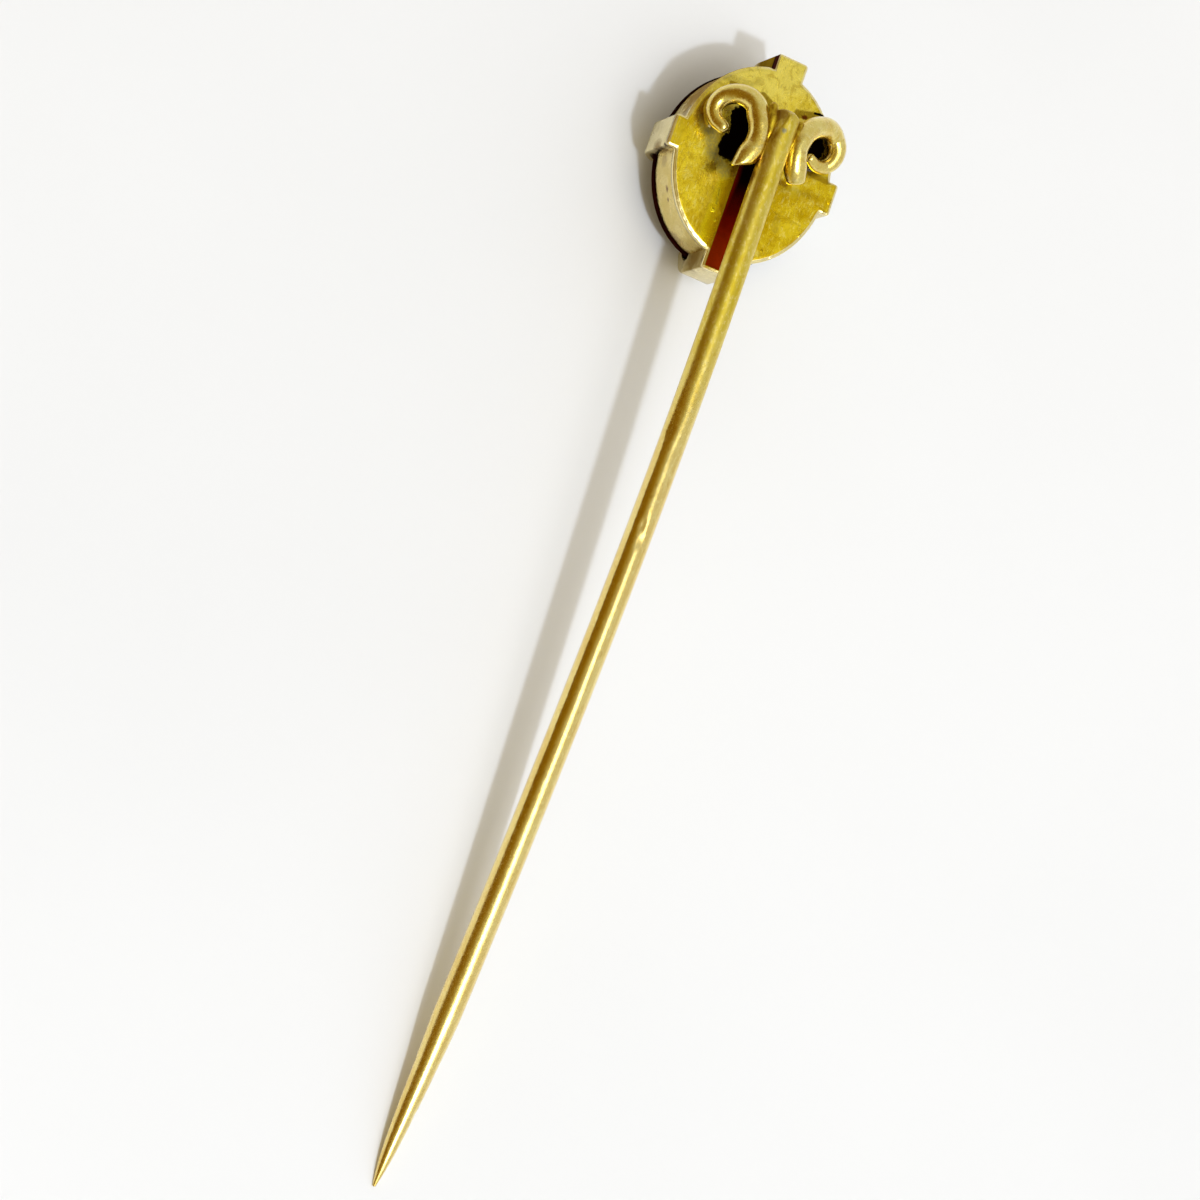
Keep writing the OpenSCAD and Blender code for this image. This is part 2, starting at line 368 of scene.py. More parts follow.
def stem_ring(far, sides=72):
    centre, heading = stem_place(far)
    centre = centre + (0, stray_side * soft_share(far, *stray_out) * soft_share(far, *stray_back), 0)
    ring = wire_ring(centre, heading, 1.0, 1.0, sides) - centre
    turn = np.degrees(np.arange(sides) * 2 * math.pi / sides)
    radius = np.full(sides, stem_width(far))
    for dent_far, dent_turn, dent_long, dent_wide, depth in stem_dents:
        around = np.radians((turn - dent_turn + 180) % 360 - 180) * stem_radius
        radius -= depth * np.exp(-((far - dent_far) / dent_long) ** 2 - (around / dent_wide) ** 2)
    for face_turn, face_long, face_depth in stem_filed_faces:
        share = 1 - (far + stem_head_end) / face_long
        if share > 0:
            level = stem_radius - face_depth * share
            toward = np.cos(np.radians(turn - face_turn))
            radius = np.where(toward * radius > level, level / np.maximum(toward, 0.1), radius)
    return centre + ring * radius[:, None]


stem_fars = [-stem_head_end + stem_end_bevel * (i / 8) ** 2 for i in range(8)]
stem_fars += list(np.linspace(-stem_head_end + stem_end_bevel, stem_long, 620))
stem_rings = [stem_ring(far) for far in stem_fars]
tip_centre, tip_heading = stem_place(stem_long)
stem_poles = (stem_place(-stem_head_end)[0], tip_centre + tip_heading * tip_cap)
make_piece("stem", *skin(stem_rings, *stem_poles), stem_gold(), sharp=50)

# The collet wall
# A strip of paler gold bent to an oval and soldered under the plate, with its lower edge rubbed round where
# it meets the stone. It is worn smooth, with a few pits and brown stains, and has painted shade on one
# quarter and in one corner.
plate_half_long = 5.1
plate_half_wide = 4.25
plate_lip = 0.08
plate_thick = 0.4
wall_half_long = plate_half_long - plate_lip
wall_half_wide = plate_half_wide - plate_lip
wall_thick = 0.45
wall_foot_round = 0.07
wall_tones = ((0.70, 0.54, 0.14), (0.82, 0.67, 0.26))
wall_streak = (0.46, 0.31, 0.10)
wall_mark_tone = (0.22, 0.11, 0.03)
wall_pit = (0.30, 0.19, 0.06)
# The quarter of the wall between the head-end claw and the left claw is painted brown: painted shade for
# the shaded table that it mirrors there
shade_brown_tones = ((0.26, 0.14, 0.02), (0.46, 0.32, 0.10))
# Each dark mark is its place on the wall, its reach, and its strength. The one at the foot beside the
# stem-end claw is painted shade in that corner; the others are stains.
wall_stains_and_shade = [
    ((-2.66, 3.54, -1.15), 0.22, 0.9),
    ((-3.13, 3.26, -1.25), 0.16, 0.8),
    ((-1.26, 4.04, -1.55), 0.5, 0.4),
    ((-4.9, 0.9, -2.65), 0.5, 1.0),
    ((-4.5, 1.9, -2.4), 0.6, 0.6),
    ((1.2, 4.05, -0.8), 0.7, 0.5),
    ((4.3, 2.1, -1.2), 0.9, 0.5),
]


def wall_gold():
    finish = Finish("wall_gold")
    cloud = finish.noise(1.3, 4, 0.6, warp=0.5)
    edge = finish.noise(7.0, 3, 0.6)
    colour = finish.mix(finish.fade(cloud, 0.35, 0.7), *wall_tones)
    streaks = finish.fade(finish.noise(3.0, 4, 0.65, stretch=(1, 1, 0.35)), 0.55, 0.75)
    colour = finish.over(colour, wall_streak, streaks, 0.4)
    # Painted shade on the quarter by the head-end claw
    shaded_quarter = finish.spot((3.4, 3.1, -1.2), 1.2, 2.6, cloud)
    colour = finish.over(colour, finish.mix(cloud, *shade_brown_tones), shaded_quarter)
    # Stains, and painted shade in the corner by the stem-end claw
    for place, reach, strength in wall_stains_and_shade:
        colour = finish.over(colour, wall_mark_tone, finish.spot(place, reach * 0.3, reach, edge), strength)
    pits = finish.fade(finish.noise(9.0, 2, 0.4), 0.70, 0.78)
    colour = finish.over(colour, wall_pit, pits, 0.6)
    normal = finish.bump(pits, -0.006, finish.bump(cloud, 0.02))
    normal = finish.bump(finish.noise(14.0, 3, 0.6), 0.003, normal)
    # The painted brown of that quarter shines less than the gold
    finish.give("Specular IOR Level", 0.0)
    metallic = finish.fade(shaded_quarter, 0.0, 1.0, 1.0, 0.15)
    return finish.metal(colour, finish.fade(cloud, 0.3, 0.75, 0.20, 0.32), normal, metallic)


oval_steps = 256


def oval_ring(half_long, half_wide, z, steps=oval_steps):
    turn = np.arange(steps) * 2 * math.pi / steps
    return np.stack([half_long * np.cos(turn), half_wide * np.sin(turn), np.broadcast_to(z, steps)], 1)


def wall_ring(inset, z):
    return oval_ring(wall_half_long - inset, wall_half_wide - inset, z)


wall_straight = wall_depth - plate_thick / 2 - wall_foot_round
wall_rings = [wall_ring(0, -plate_thick / 2 - wall_straight * i / 10) for i in range(11)]
for inner in (False, True):
    for i in range(1, 5):
        turn = math.pi / 2 * (4 - i if inner else i) / 4
        inset = wall_foot_round * (1 - math.cos(turn))
        drop = wall_foot_round * (1 - math.sin(turn))
        wall_rings.append(wall_ring(wall_thick - inset if inner else inset, -wall_depth + drop))
wall_rings.append(wall_ring(wall_thick, -plate_thick / 2))
make_piece("collet_wall", *skin(wall_rings, closed=True), wall_gold())

# The stone
# A dark red garnet cut as an oval cabochon. Its plain edge sits on the foot of the wall, where it shows as
# a thin dark line, and the pin lies on its polished dome.
stone_half_wide = wall_half_wide + stone_half_long - wall_half_long
belly_high = 1.2
belly_half_long = wall_half_long - wall_thick - seat_gap
belly_half_wide = wall_half_wide - wall_thick - seat_gap
seat_depth = wall_depth + seat_gap
stone_edge_round = 0.04
# The edge is ground back a little, and the dome is eased in under it
stone_trim = 0.02
dome_ease = 0.10
dome_ease_turn = 0.5
# The dome is worn a little where the pin lies on it
dome_worn = dome_high - 0.002
belly_steps = 12
dome_steps = 32
# Each garnet is its darker and its paler tone
garnet_tones = ((0.008, 0.001, 0.001), (0.022, 0.001, 0.002))
garnet_edge_tones = ((0.008, 0.001, 0.001), (0.020, 0.002, 0.001))
garnet_index = 1.76
# The roughness of the polish and of the ground edge, where the noise is low and where it is high
polish = (0.04, 0.14)
ground_edge = (0.5, 0.65)


def garnet(name, tones, gloss, wear):
    finish = Finish(name)
    finish.give("Base Color", finish.mix(finish.fade(finish.noise(0.8, 3, 0.5), 0.3, 0.7), *tones))
    finish.give("IOR", garnet_index)
    finish.give("Specular IOR Level", gloss)
    finish.give("Roughness", finish.fade(finish.noise(16.0, 4, 0.65), 0.4, 0.8, *wear))
    finish.give("Normal", finish.bump(finish.noise(20.0, 4, 0.6), 0.001))
    return finish.material


def stone_ring(share, z, inset=0.0):
    inset += stone_trim
    return oval_ring(stone_half_long * share - inset, stone_half_wide * share - inset, z)


stone_rings = []
for i in range(1, belly_steps + 1):
    turn = math.pi / 2 * i / belly_steps
    level = belly_high * math.cos(turn) - seat_depth
    stone_rings.append(oval_ring(belly_half_long * math.sin(turn), belly_half_wide * math.sin(turn), level))
stone_rings.append(stone_ring(1, -seat_depth, stone_edge_round))
stone_rings.append(stone_ring(1, -seat_depth - stone_edge_round))
for i in range(dome_steps):
    turn = math.pi / 2 * i / dome_steps
    ease = dome_ease * math.sin(math.pi * min(1, turn / dome_ease_turn)) - stone_trim * math.sin(turn)
    stone_rings.append(stone_ring(math.cos(turn), -dome_depth - dome_worn * math.sin(turn), ease))
stone_poles = ((0, 0, belly_high - seat_depth), (0, 0, -dome_depth - dome_worn))
polished_garnet = garnet("garnet", garnet_tones, 0.5, polish)
stone = make_piece(
    "cabochon", *skin(stone_rings, *stone_poles), polished_garnet, slot="garnet", node="stone", sharp=30)
# From the seat to the start of the dome the stone is left matt and dirty from the grinding
stone.data.materials.append(garnet("garnet_edge", garnet_edge_tones, 0.0, ground_edge))
matt_dome_rows = 4
matt_from = belly_steps - 1
matt_to = belly_steps + 2 + matt_dome_rows
for face in stone.data.polygons[matt_from * oval_steps:matt_to * oval_steps]:
    face.material_index = 1

# The four claws
# Square gold bars soldered to the collet wall, under tabs of the back plate. Each runs down the wall, and
# its end is filed thin and folded over the dome of the stone.
claw_reach_wide = 4.7
claw_wide = 1.7
# The bar stands this much inside its tab, and its root reaches this far in from the wall's face
claw_step = 0.025
claw_root = 0.3
claw_tip_thick = 0.298
claw_fold = math.radians(30)
claw_edge_round = 0.08
claw_top = -plate_thick + 0.02
# The claw at the head end stands a little to the right of the middle
head_claw_shift = -0.24
claw_tones = ((0.68, 0.58, 0.28), (0.80, 0.70, 0.40))
claw_haze = (0.40, 0.28, 0.09)
shaded_flank_tones = ((0.11, 0.05, 0.002), (0.44, 0.30, 0.02))
claw_stain = (0.22, 0.13, 0.02)
claw_line_tone = (0.03, 0.005, 0.004)
# Each brown stain is its place and its reach
claw_stains = [((-5.2, 1.0, -1.6), 1.0), ((-0.95, 4.4, -1.5), 0.8)]
# Two dark lines on the claws: their two ends. The first is painted shade along the head-end claw's left
# edge; the second runs along the top of the left claw's side towards the point.
claw_dark_lines = [((5.1, 0.60, -0.5), (5.9, 0.60, -0.5)), ((-0.84, 4.3, -0.45), (-0.84, 4.7, -0.45))]


def stroke(finish, start, end, inner, outer, uneven=None):
    """A mark along the line between two places on the pin."""
    first, last = (lay_down([place])[0] / MM for place in (start, end))
    line = last - first
    from_first = finish.vector("SUBTRACT", {0: finish.place, 1: tuple(first)})
    along = finish.vector("DOT_PRODUCT", {0: from_first, 1: tuple(line / line.dot(line))}, "Value")
    along = finish.work("MINIMUM", finish.work("MAXIMUM", along, 0.0), 1.0)
    nearest = finish.vector("SCALE", {0: tuple(line), "Scale": along})
    far = finish.vector("DISTANCE", {0: from_first, 1: nearest}, "Value")
    return finish.within(far, inner, outer, uneven)


def facing(finish, axis, low, high):
    """Fades from 0 to 1 as the surface's own direction along an axis goes from low to high."""
    normal = finish.add("NewGeometry", {}).outputs["Normal"]
    return finish.fade(finish.part_of(normal, axis), low, high)


def claw_gold():
    finish = Finish("claw_gold")
    cloud = finish.noise(1.5, 4, 0.6, warp=0.4)
    colour = finish.mix(finish.fade(cloud, 0.35, 0.7), *claw_tones)
    haze = finish.fade(finish.noise(2.6, 4, 0.65), 0.58, 0.74)
    colour = finish.over(colour, claw_haze, haze, 0.5)
    # The left sides of the two claws on the stem's line face away from the lamp, and are painted brown and
    # dull:
    # painted shade
    shaded_flanks = facing(finish, "Y", 0.3, 0.8)
    head_flank = finish.times(finish.spot((5.4, 0.9, -1.2), 1.2, 2.2), shaded_flanks)
    stem_flank = finish.times(finish.spot((-5.4, 0.9, -1.2), 1.0, 2.0), shaded_flanks)
    shade_dull = finish.work("MAXIMUM", head_flank, finish.times(stem_flank, 0.6))
    colour = finish.over(colour, finish.mix(cloud, *shaded_flank_tones), shade_dull)
    for place, reach in claw_stains:
        colour = finish.over(colour, claw_stain, finish.spot(place, reach * 0.4, reach, cloud), 0.85)
    # Dark lines: painted shade on the head-end claw's left edge, and a line on the left claw
    for start, end in claw_dark_lines:
        colour = finish.over(colour, claw_line_tone, stroke(finish, start, end, 0.04, 0.18))
    finish.give("Specular IOR Level", 0.0)
    metallic = finish.fade(shade_dull, 0.0, 1.0, 1.0, 0.0)
    roughness = finish.work("ADD", finish.fade(cloud, 0.3, 0.75, 0.18, 0.30), finish.times(shade_dull, 0.4))
    normal = finish.bump(finish.noise(12.0, 3, 0.6), 0.003, finish.bump(cloud, 0.02))
    return finish.metal(colour, roughness, normal, metallic)


def claw_outline(reach, edge, dome):
    """The claw seen from its side: distance from the head's middle, and height."""

    def over_dome(turn, off):
        slope = Vector((math.cos(turn) / dome, -math.sin(turn) / dome_high)).normalized()
        high = -dome_depth - dome_high * math.sin(turn)
        return (dome * math.cos(turn) + off * slope[0], high + off * slope[1])

    full = reach - dome
    thinning = claw_tip_thick + seat_gap - full
    folds = [claw_fold * i / 8 for i in range(9)]
    outer_side = [over_dome(turn, full + thinning * turn / claw_fold) for turn in folds]
    inner_side = [over_dome(turn, seat_gap) for turn in reversed(folds)]
    return [(edge - claw_root, claw_top), (reach, claw_top), (reach, -wall_depth), *outer_side, *inner_side,
            (dome + seat_gap, -wall_depth), (edge - claw_root, -wall_depth)]


def add_claw(name, reach, edge, dome, turn, shift=0.0):
    """One claw with its outer edges filed round, made on the +x axis and turned to its own side."""
    half_wide = claw_wide / 2 - claw_step
    claw = bmesh.new()
    outline = claw_outline(reach - claw_step, edge, dome)
    face = claw.faces.new([claw.verts.new((out, shift - half_wide, high)) for out, high in outline])
    grown = bmesh.ops.extrude_face_region(claw, geom=[face])
    far_side = [part for part in grown["geom"] if isinstance(part, bmesh.types.BMVert)]
    bmesh.ops.translate(claw, verts=far_side, vec=(0, 2 * half_wide, 0))
    bmesh.ops.recalc_face_normals(claw, faces=claw.faces)
    outer_edges = []
    for line in claw.edges:
        middle = (line.verts[0].co + line.verts[1].co) / 2
        if line.calc_face_angle(0) > math.radians(40) and middle.x > edge + 0.02:
            outer_edges.append(line)
    bmesh.ops.bevel(claw, geom=outer_edges, offset=claw_edge_round, segments=4, profile=0.5, affect="EDGES")
    bmesh.ops.triangulate(claw, faces=[face for face in claw.faces if len(face.verts) > 4])
    claw.verts.ensure_lookup_table()
    turned = Matrix.Rotation(turn, 3, "Z")
    points = [turned @ corner.co for corner in claw.verts]
    faces = [tuple(corner.index for corner in face.verts) for face in claw.faces]
    claw.free()
    make_piece(name, points, faces, claw_metal, sharp=35)


claw_metal = claw_gold()
add_claw("claw_head_end", claw_reach_long, wall_half_long, stone_half_long, 0, head_claw_shift)
add_claw("claw_stem_end", claw_reach_long, wall_half_long, stone_half_long, math.pi)
for claw_name, claw_turn in (("claw_left", math.pi / 2), ("claw_right", -math.pi / 2)):
    add_claw(claw_name, claw_reach_wide, wall_half_wide, stone_half_wide, claw_turn)

# The back plate
# An oval of yellow gold sheet with four tabs over the claws, cut by hand and soldered on the collet. Its
# edge is filed round, and its polished face has scratches, nicks, grey-green tarnish, and painted shadows,
# reflections and highlights round the scrolls and the stem.
plate_edge_round = 0.08
plate_chamfer = 0.19
plate_chamfer_drop = 0.04
# On the tabs the chamfer is this narrow, and it widens away from them
plate_chamfer_tab = 0.13
plate_chamfer_widening = 0.3
# The face lies a little below the plate's back, so that its unevenness stays inside the real thickness
plate_sink = 0.012
tab_corner_round = 0.16
plate_tones = ((0.60, 0.38, 0.002), (0.73, 0.53, 0.015))
pale_end_gold = (0.92, 0.75, 0.12)
left_side_gold = (0.90, 0.70, 0.04)
plate_mottle_tones = ((0.46, 0.29, 0.001), (0.88, 0.72, 0.14))
painted_highlight_gold = (1.0, 0.84, 0.01)
edge_highlight_gold = (0.92, 0.80, 0.42)
painted_glint_pale = (0.78, 0.76, 0.68)
dark_red_mark = (0.10, 0.006, 0.001)
tab_shade_brown = (0.22, 0.11, 0.006)
tab_shade_red = (0.05, 0.004, 0.002)
# Short strokes of the brush: their turn, between which values of the noise they come in, and their tone
brush_strokes = [
    (0.7, 0.56, 0.68, (0.97, 0.84, 0.24)),
    (-0.5, 0.57, 0.68, (0.34, 0.22, 0.004)),
    (1.2, 0.60, 0.72, (0.97, 0.82, 0.22)),
]
# Soft tarnish and painted shadows: the two ends of each smear, how far it reaches, its strength and its
# colour. The fourth and fifth, above the left scroll, and the sixth, below the right curl, are painted
# shadows of the scrolls; the others are tarnish.
olive = (0.20, 0.14, 0.015)
grey_green = (0.26, 0.23, 0.08)
plate_tarnish_and_shadows = [
    ((0.9, 2.7), (-0.3, 2.35), 0.55, 0.75, grey_green),
    ((-0.3, 2.0), (-1.0, 1.3), 0.50, 0.60, grey_green),
    ((1.2, 3.4), (0.6, 3.0), 0.35, 0.45, grey_green),
    ((3.55, 2.9), (3.75, 1.6), 0.30, 0.55, olive),
    ((3.95, 1.3), (4.1, 1.1), 0.30, 0.45, olive),
    ((0.75, -2.9), (0.85, -4.1), 0.30, 0.75, olive),
    ((-0.6, -2.0), (-0.4, -3.2), 0.40, 0.30, olive),
    ((-2.1, -2.1), (-2.6, -2.2), 0.35, 0.45, olive),
    ((-1.9, 1.3), (-2.6, 1.2), 0.12, 0.60, olive),
    ((-1.8, -1.8), (-1.9, -3.4), 0.08, 0.40, olive),
    ((-0.4, -1.7), (-0.1, -3.9), 0.30, 0.25, olive),
    ((0.4, 4.3), (-0.4, 4.35), 0.45, 0.30, olive),
]
# Painted shadows with a firm edge, cast by the stem's end and the scrolls onto the plate: their two ends
# and reach
painted_shadow_tones = ((0.12, 0.04, 0.001), (0.44, 0.30, 0.008))
painted_plate_shadows = [
    ((3.45, 0.72), (3.2, 0.15), 0.26),
    ((3.0, 0.3), (2.2, 0.1), 0.25),
    ((3.38, -1.35), (3.70, -2.5), 0.25),
    ((3.40, 2.55), (3.46, 1.7), 0.13),
    ((0.80, -2.9), (0.74, -4.0), 0.14),
]
# Small red-brown marks: their two ends, reach and strength. The third, by the left scroll's outer foot, is
# a painted dark reflection of the wire.
plate_red_marks = [
    ((3.35, -1.70), (3.37, -1.80), 0.17, 0.9),
    ((-0.25, -1.55), (-0.25, -1.95), 0.22, 0.55),
    ((1.55, 3.42), (1.0, 3.02), 0.12, 0.9),
]
# Painted shadow and dark reflection, near black, in and by the curls: the two ends of each patch,
# and its reach
painted_shade_black = (0.002, 0.0006, 0.0005)
painted_curl_shade = [
    ((2.0, 1.5), (1.75, 1.45), 0.55),
    ((1.4, 1.30), (0.9, 1.30), 0.60),
    ((0.55, 1.50), (0.15, 1.50), 0.60),
    ((2.35, -2.65), (1.9, -2.75), 0.62),
    ((3.78, -2.2), (3.88, -2.9), 0.07),
]
# Between these two lines lies the stem's painted shadow and dark reflection. Down the stem the strip turns
# red
stem_shade_left = 0.74
stem_shade_right = -0.75
reflected_reds = ((0.21, 0.006, 0.0004), (0.35, 0.028, 0.001))
# Painted shade: a dark line along the left side of the tab over the head-end claw, and one along the
# left tab's outer edge
head_tab_shade_ends = ((5.1, 0.66, -0.2), (5.75, 0.66, -0.2))
left_tab_shade_ends = ((-0.8, 4.72, -0.13), (0.8, 4.72, -0.13))
# Nicks that catch the light: where each is, and its reach
plate_nicks = [
    (-2.99, 1.26, 0.13),
    (-0.76, -4.40, 0.12),
    (-0.15, -4.54, 0.16),
    (-4.08, -2.51, 0.14),
    (-2.37, -3.58, 0.12),
    (-3.45, 1.0, 0.08),
    (-3.9, -1.9, 0.08),
]


def sheet_tones(finish, cloud, mottle):
    """The tones of the plate's gold, before tarnish and stains."""
    colour = finish.mix(finish.fade(cloud, 0.35, 0.65), *plate_tones)
    colour = finish.over(colour, pale_end_gold, finish.spot((6.0, 1.2, 0), 1.8, 6.0, cloud), 0.9)
    colour = finish.over(colour, left_side_gold, finish.spot((-1.6, 2.4, 0), 1.0, 2.8, cloud), 0.45)
    dark_mottle, pale_mottle = plate_mottle_tones
    colour = finish.over(colour, dark_mottle, finish.fade(mottle, 0.50, 0.64, 0.0, 0.5))
    colour = finish.over(colour, pale_mottle, finish.fade(mottle, 0.46, 0.36, 0.0, 0.5))
    for turn, low, high, tone in brush_strokes:
        strokes = finish.noise(2.4, 4, 0.65, warp=0.3, stretch=(1.0, 3.6, 1.0), turn=turn)
        colour = finish.over(colour, tone, finish.fade(strokes, low, high, 0.0, 0.4))
    # A painted highlight brightens the plate along the outer side of the stem's painted shadow
    painted_bright = stroke(finish, (-1.4, 1.1, 0), (-5.6, 1.15, 0), 0.25, 0.55, cloud)
    return finish.over(colour, painted_highlight_gold, painted_bright, 0.75)


def painted_shade_on_plate(finish, mottle):
    """Where the painted shadow and dark reflection lie, and their colour: black in the curls, red down by
    the stem.
    """
    # The mask of the painted shadow and dark reflection
    scale = 0.0
    for start, end, reach in painted_curl_shade:
        patch = stroke(finish, (*start, 0), (*end, 0), reach * 0.88, reach * 1.06, mottle)
        scale = finish.work("MAXIMUM", scale, patch)
    across = finish.part_of(finish.place, "Y")
    along = finish.part_of(finish.place, "X")
    stem_shade = finish.times(
        finish.fade(across, stem_shade_left + 0.03, stem_shade_left - 0.06),
        finish.fade(across, stem_shade_right - 0.2, stem_shade_right + 0.2))
    stem_shade = finish.times(stem_shade, finish.fade(along, head_x + 3.0, head_x + 2.6))
    stem_shade = finish.times(stem_shade, finish.fade(along, head_x - 5.76, head_x - 5.70))
    scale = finish.work("MAXIMUM", scale, stem_shade)
    # The red starts further up along the strip's left edge
    red_edge = finish.times(
        finish.fade(across, stem_shade_left - 0.35, stem_shade_left - 0.05),
        finish.fade(along, head_x + 0.4, head_x - 1.4))
    red = finish.work("MAXIMUM", finish.fade(along, head_x - 0.8, head_x - 4.2), red_edge)
    red = finish.times(finish.times(red, stem_shade), finish.fade(mottle, 0.3, 0.7, 0.75, 1.0))
    reflected_red = finish.mix(finish.fade(along, head_x - 3.0, head_x - 5.2), *reflected_reds)
    shade_colour = finish.mix(red, painted_shade_black, reflected_red)
    # A painted line of shade along the head-end tab's left side
    tab_shade = stroke(finish, *head_tab_shade_ends, 0.16, 0.22)
    return finish.work("MAXIMUM", scale, tab_shade), finish.mix(tab_shade, shade_colour, tab_shade_red)


def plate_gold():
    finish = Finish("plate_gold")
    cloud = finish.noise(0.9, 5, 0.62, warp=0.4)
    mottle = finish.noise(2.3, 6, 0.68, warp=0.5)
    grain = finish.noise(9.0, 4, 0.6)
    colour = sheet_tones(finish, cloud, mottle)
    blotch = finish.fade(grain, 0.30, 0.62, 0.45, 1.0)
    dulled = 0.0
    # Tarnish, and three painted shadows of the scrolls
    for start, end, reach, strength, tone in plate_tarnish_and_shadows:
        smear = stroke(finish, (*start, 0), (*end, 0), reach * 0.3, reach, mottle)
        smear = finish.times(finish.times(smear, strength), blotch)
        colour = finish.over(colour, tone, smear)
        dulled = finish.work("MAXIMUM", dulled, smear)
    # Painted shadows of the stem's end and the scrolls
    for start, end, reach in painted_plate_shadows:
        mark = stroke(finish, (*start, 0), (*end, 0), reach * 0.65, reach * 1.1, mottle)
        colour = finish.over(colour, finish.mix(grain, *painted_shadow_tones), mark, 0.9)
    # Red-brown marks, the third a painted dark reflection of the left scroll's wire
    for start, end, reach, strength in plate_red_marks:
        red_mark = stroke(finish, (*start, 0), (*end, 0), reach * 0.3, reach, grain)
        colour = finish.over(colour, dark_red_mark, red_mark, strength)
    # A pale mark below the right curl is a painted reflection of the curl's highlight
    curl_glint = stroke(finish, (1.02, -2.8, 0), (1.10, -3.15, 0), 0.06, 0.17, grain)
    colour = finish.over(colour, painted_glint_pale, curl_glint)
    # The filed edge is painted paler than the face as a painted highlight, and painted brown as shade above
    # the wall's shaded quarter
    shaded_quarter = finish.spot((3.6, 3.1, 0), 1.6, 3.0)
    edge = finish.times(facing(finish, "Z", 0.985, 0.95), finish.fade(shaded_quarter, 0.0, 1.0, 1.0, 0.2))
    colour = finish.over(colour, edge_highlight_gold, edge, 0.85)
    # A painted line of shade along the left tab's outer edge
    colour = finish.over(colour, tab_shade_brown, stroke(finish, *left_tab_shade_ends, 0.05, 0.10), 0.85)
    # Painted brown shade on the edge's side above the wall's shaded quarter
    shaded_edge = finish.times(shaded_quarter, facing(finish, "Z", 0.75, 0.5))
    colour = finish.over(colour, finish.mix(cloud, *shade_brown_tones), shaded_edge)
    # Painted shadow and dark reflection in the curls and beside the stem, and painted shade by the head-end
    # tab
    scale, shade_colour = painted_shade_on_plate(finish, mottle)
    colour = finish.over(colour, shade_colour, scale)
    shade_dull = finish.work("MAXIMUM", scale, finish.times(shaded_edge, 0.9))
    finish.give("Specular IOR Level", 0.0)
    metallic = finish.fade(shade_dull, 0.0, 1.0, 1.0, 0.1)
    roughness = finish.work("ADD", finish.fade(cloud, 0.3, 0.75, 0.22, 0.30), finish.times(dulled, 0.2))
    roughness = finish.work("ADD", roughness, finish.times(scale, 0.25))
    normal = finish.bump(mottle, 0.0025, finish.bump(cloud, 0.010))
    long_scratches = finish.noise(5.0, 3, 0.6, stretch=(0.5, 9.0, 1.0), turn=0.9)
    cross_scratches = finish.noise(5.0, 3, 0.6, stretch=(8.0, 0.6, 1.0), turn=0.5)
    normal = finish.bump(finish.times(long_scratches, cross_scratches), 0.0016, normal)
    nicks = 0.0
    for x, y, reach in plate_nicks:
        nicks = finish.work("MAXIMUM", nicks, finish.spot((x, y, 0), 0.0, reach, grain))
    return finish.metal(colour, roughness, finish.bump(nicks, 0.05, normal), metallic)


def half_tab(reach, root):
    """One side of a tab, from its root on the oval to near the middle of its end, with a rounded corner."""
    half = [(root + (reach - tab_corner_round - root) * i / 5, claw_wide / 2) for i in range(6)]
    for i in range(1, 5):
        turn = math.pi / 2 * i / 4
        half.append((reach - tab_corner_round * (1 - math.sin(turn)),
                     claw_wide / 2 - tab_corner_round * (1 - math.cos(turn))))
    return half + [(reach, (claw_wide / 2 - tab_corner_round) * (1 - i / 4)) for i in range(1, 4)]


def plate_outline():
    """The oval with its four tabs, counter-clockwise from the +x axis."""
    tabs = []
    for quarter in range(4):
        turn = quarter * math.pi / 2
        shift = head_claw_shift if quarter == 0 else 0.0
        if quarter % 2:
            reach, half_long, half_wide = claw_reach_wide, plate_half_wide, plate_half_long
        else:
            reach, half_long, half_wide = claw_reach_long, plate_half_long, plate_half_wide
        sides = []
        for side in (-1, 1):
            root = half_long * math.sqrt(1 - ((side * claw_wide / 2 + shift) / half_wide) ** 2)
            sides.append([(x, side * y + shift) for x, y in half_tab(reach, root)])
        tab = sides[0] + [(reach, shift)] + sides[1][::-1]
        turned = Matrix.Rotation(turn, 2)
        tabs.append([tuple(turned @ Vector(point)) for point in tab])
    outline = []
    for i, tab in enumerate(tabs):
        outline += tab
        next_tab = tabs[(i + 1) % 4]
        start = math.atan2(tab[-1][1] / plate_half_wide, tab[-1][0] / plate_half_long)
        end = math.atan2(next_tab[0][1] / plate_half_wide, next_tab[0][0] / plate_half_long)
        sweep = (end - start) % (2 * math.pi)
        for k in range(1, 48):
            turn = start + sweep * k / 48
            outline.append((plate_half_long * math.cos(turn), plate_half_wide * math.sin(turn)))
    return np.array(outline)


plate_rim = plate_outline()
edge_ahead = np.roll(plate_rim, -1, 0) - plate_rim
edge_ahead /= np.linalg.norm(edge_ahead, axis=1)[:, None]
edge_normals = np.stack([edge_ahead[:, 1], -edge_ahead[:, 0]], 1)
corner_normals = edge_normals + np.roll(edge_normals, 1, 0)
corner_normals /= np.linalg.norm(corner_normals, axis=1)[:, None]
corner_normals /= np.maximum(0.6, (corner_normals * edge_normals).sum(1))[:, None]
# The edge was filed by hand, in small strokes that leave it a little uneven
rim_turn = np.arctan2(plate_rim[:, 1], plate_rim[:, 0])
file_marks = 0.5 * np.sin(rim_turn * 61) + 0.3 * np.sin(rim_turn * 97 + 1.3) + 0.3 * np.sin(rim_turn * 23)
